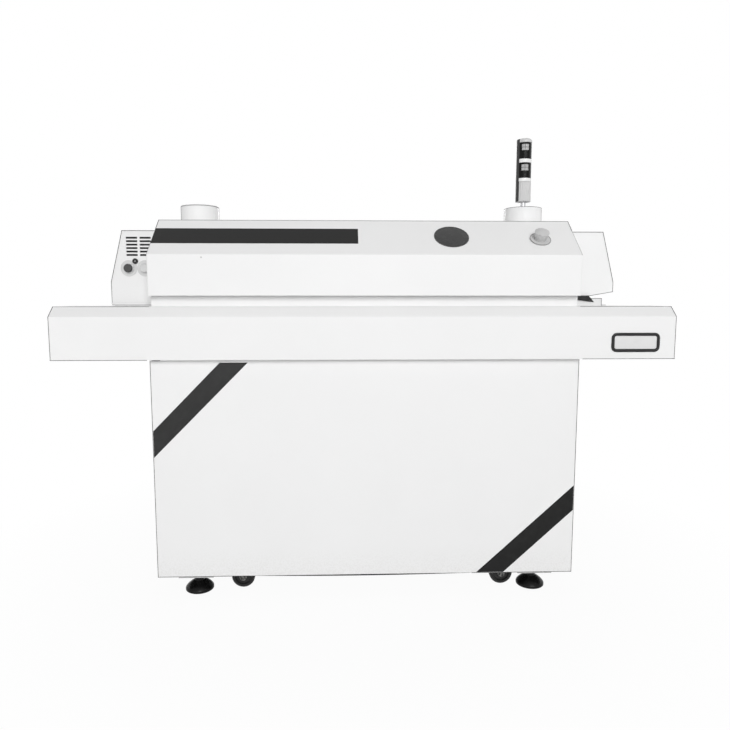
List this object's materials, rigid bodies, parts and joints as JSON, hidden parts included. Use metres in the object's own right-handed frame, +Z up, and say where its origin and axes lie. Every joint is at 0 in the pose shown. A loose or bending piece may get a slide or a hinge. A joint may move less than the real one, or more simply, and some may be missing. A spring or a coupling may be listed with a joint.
{
  "type": "reflow oven",
  "caption": "Floor-standing in-line reflow oven: white cabinet on levelling feet and casters, long conveyor beams with a mesh belt, and a hinged hood with a signal tower.",
  "frame": {"origin": "on the floor, under the middle of the oven's overall box", "axes": "+X along the belt from entry to exit, +Y from the operator's side to the back, +Z up"},
  "size_m": [1.9, 0.7, 1.471],
  "materials": {
    "white_paint": "fine textured white powder coat",
    "frame_paint": "grey powder coat",
    "zinc_sheet": "zinc plated sheet",
    "zinc_steel": "zinc plated",
    "chamber_steel": "stainless sheet",
    "heater_steel": "heat darkened steel",
    "nozzle_aluminium": "satin",
    "belt_steel": "woven stainless wire",
    "drum_steel": "turned",
    "bearing_iron": "painted casting",
    "motor_paint": "dark grey enamel",
    "tower_chrome": "polished tube",
    "tower_grey": "moulded, fluted",
    "tower_lens": "dark moulded lens, unlit",
    "tower_light": "pale moulded rings and cap",
    "stop_plate": "pale plate and collar",
    "stop_head": "pale mushroom head",
    "legend_grey": "bare legend plates",
    "button_dark": "dark push button",
    "button_pale": "pale push button",
    "black_plastic": "moulded",
    "black_rubber": "sheet rubber",
    "seal_grey": "extruded silicone seal",
    "fork_black": "black enamel on pressed steel",
    "foot_black": "moulded pad on a black stud",
    "wheel_black": "moulded tread and hub"
  },
  "bodies": {
    "base": {"base_frame": "frame_paint", "floor_pan": "zinc_sheet", "top_deck": "white_paint", "front_panel": "white_paint", "rear_panel": "white_paint", "side_panels": "white_paint", "caster_plates": "zinc_steel", "front_beam": "white_paint", "rear_beam": "white_paint", "chamber_rim": "white_paint", "hood_gasket": "seal_grey", "tunnel_sills": "white_paint", "lower_chamber": "chamber_steel", "lower_heaters": "heater_steel", "lower_baffles": "nozzle_aluminium", "belt_slides": "chamber_steel", "mesh_belt": "belt_steel", "drum_bearings": "bearing_iron", "drive_motor": "motor_paint", "entry_tunnel": "white_paint", "exit_tunnel": "white_paint", "tunnel_curtains": "black_rubber", "legend_rings": "legend_grey", "panel_buzzer": "black_plastic", "hinge_base_leaves": "zinc_steel", "hinge_pins": "zinc_steel", "control_box": "zinc_sheet", "cable_gland": "black_plastic"},
    "hood": {"hood_shell": "white_paint", "hood_plenum": "chamber_steel", "nozzle_plates": "nozzle_aluminium", "blower_motors": "motor_paint", "duct_collars": "white_paint", "lamp_pole": "tower_chrome", "lamp_base": "tower_grey", "lamp_lenses": "tower_lens", "lamp_caps": "tower_light", "estop_collar": "stop_plate", "hinge_hood_leaves": "zinc_steel"},
    "stop_plunger": {"estop_stem": "stop_plate"},
    "stop_head": {"estop_head": "stop_head"},
    "left_button": {"button_left": "button_dark"},
    "right_button": {"button_right": "button_pale"},
    "drive_roller": {"drive_drum": "drum_steel"},
    "idler_roller": {"idler_drum": "drum_steel"},
    "blower_1": {"blower_wheel_1": "zinc_sheet"},
    "blower_2": {"blower_wheel_2": "zinc_sheet"},
    "blower_3": {"blower_wheel_3": "zinc_sheet"},
    "foot_front_left": {"levelling_foot_front_left": "foot_black"},
    "caster_front_left": {"caster_fork_front_left": "fork_black"},
    "wheel_front_left": {"caster_wheel_front_left": "wheel_black"},
    "foot_front_right": {"levelling_foot_front_right": "foot_black"},
    "caster_front_right": {"caster_fork_front_right": "fork_black"},
    "wheel_front_right": {"caster_wheel_front_right": "wheel_black"},
    "foot_rear_left": {"levelling_foot_rear_left": "foot_black"},
    "caster_rear_left": {"caster_fork_rear_left": "fork_black"},
    "wheel_rear_left": {"caster_wheel_rear_left": "wheel_black"},
    "foot_rear_right": {"levelling_foot_rear_right": "foot_black"},
    "caster_rear_right": {"caster_fork_rear_right": "fork_black"},
    "wheel_rear_right": {"caster_wheel_rear_right": "wheel_black"}
  },
  "joints": [
    {"name": "hood_lift", "type": "hinge", "parent": "base", "child": "hood", "pos_m": [0, 0.333, 0.943], "axis": [-1, 0, 0], "range_deg": [0, 60]},
    {"name": "stop_push", "type": "slide", "parent": "hood", "child": "stop_plunger", "axis": [0, 0.6413, -0.7673], "range_m": [0, 0.006], "stiffness_N_per_m": 1500},
    {"name": "stop_twist", "type": "hinge", "parent": "stop_plunger", "child": "stop_head", "pos_m": [0.548, -0.259, 1.12798], "axis": [0, -0.6413, 0.7673], "range_deg": [0, 30], "stiffness_Nm_per_rad": 0.05},
    {"name": "left_button_push", "type": "slide", "parent": "base", "child": "left_button", "axis": [0, 1, 0], "range_m": [0, 0.003], "stiffness_N_per_m": 900},
    {"name": "right_button_push", "type": "slide", "parent": "base", "child": "right_button", "axis": [0, 1, 0], "range_m": [0, 0.003], "stiffness_N_per_m": 900},
    {"name": "drive_roller_spin", "type": "hinge", "parent": "base", "child": "drive_roller", "pos_m": [0.8886, 0, 0.8446], "axis": [0, 1, 0], "continuous": true},
    {"name": "idler_roller_spin", "type": "hinge", "parent": "base", "child": "idler_roller", "pos_m": [-0.8886, 0, 0.8446], "axis": [0, 1, 0], "continuous": true},
    {"name": "blower_1_spin", "type": "hinge", "parent": "hood", "child": "blower_1", "pos_m": [-0.44067, 0, 1.02], "axis": [0, 0, 1], "continuous": true},
    {"name": "blower_2_spin", "type": "hinge", "parent": "hood", "child": "blower_2", "pos_m": [0, 0, 1.02], "axis": [0, 0, 1], "continuous": true},
    {"name": "blower_3_spin", "type": "hinge", "parent": "hood", "child": "blower_3", "pos_m": [0.44067, 0, 1.02], "axis": [0, 0, 1], "continuous": true},
    {"name": "foot_front_left_height", "type": "slide", "parent": "base", "child": "foot_front_left", "axis": [0, 0, 1], "range_m": [-0.02, 0]},
    {"name": "caster_front_left_swivel", "type": "hinge", "parent": "base", "child": "caster_front_left", "pos_m": [-0.425, -0.258, 0.095], "axis": [0, 0, 1], "continuous": true},
    {"name": "wheel_front_left_roll", "type": "hinge", "parent": "caster_front_left", "child": "wheel_front_left", "pos_m": [-0.403, -0.258, 0.039], "axis": [0, 1, 0], "continuous": true},
    {"name": "foot_front_right_height", "type": "slide", "parent": "base", "child": "foot_front_right", "axis": [0, 0, 1], "range_m": [-0.02, 0]},
    {"name": "caster_front_right_swivel", "type": "hinge", "parent": "base", "child": "caster_front_right", "pos_m": [0.425, -0.258, 0.095], "axis": [0, 0, 1], "continuous": true},
    {"name": "wheel_front_right_roll", "type": "hinge", "parent": "caster_front_right", "child": "wheel_front_right", "pos_m": [0.447, -0.258, 0.039], "axis": [0, 1, 0], "continuous": true},
    {"name": "foot_rear_left_height", "type": "slide", "parent": "base", "child": "foot_rear_left", "axis": [0, 0, 1], "range_m": [-0.02, 0]},
    {"name": "caster_rear_left_swivel", "type": "hinge", "parent": "base", "child": "caster_rear_left", "pos_m": [-0.425, 0.258, 0.095], "axis": [0, 0, 1], "continuous": true},
    {"name": "wheel_rear_left_roll", "type": "hinge", "parent": "caster_rear_left", "child": "wheel_rear_left", "pos_m": [-0.403, 0.258, 0.039], "axis": [0, 1, 0], "continuous": true},
    {"name": "foot_rear_right_height", "type": "slide", "parent": "base", "child": "foot_rear_right", "axis": [0, 0, 1], "range_m": [-0.02, 0]},
    {"name": "caster_rear_right_swivel", "type": "hinge", "parent": "base", "child": "caster_rear_right", "pos_m": [0.425, 0.258, 0.095], "axis": [0, 0, 1], "continuous": true},
    {"name": "wheel_rear_right_roll", "type": "hinge", "parent": "caster_rear_right", "child": "wheel_rear_right", "pos_m": [0.447, 0.258, 0.039], "axis": [0, 1, 0], "continuous": true}
  ],
  "couplings": [
    {"joint": "idler_roller_spin", "follows": "drive_roller_spin", "ratio": 1}
  ]
}
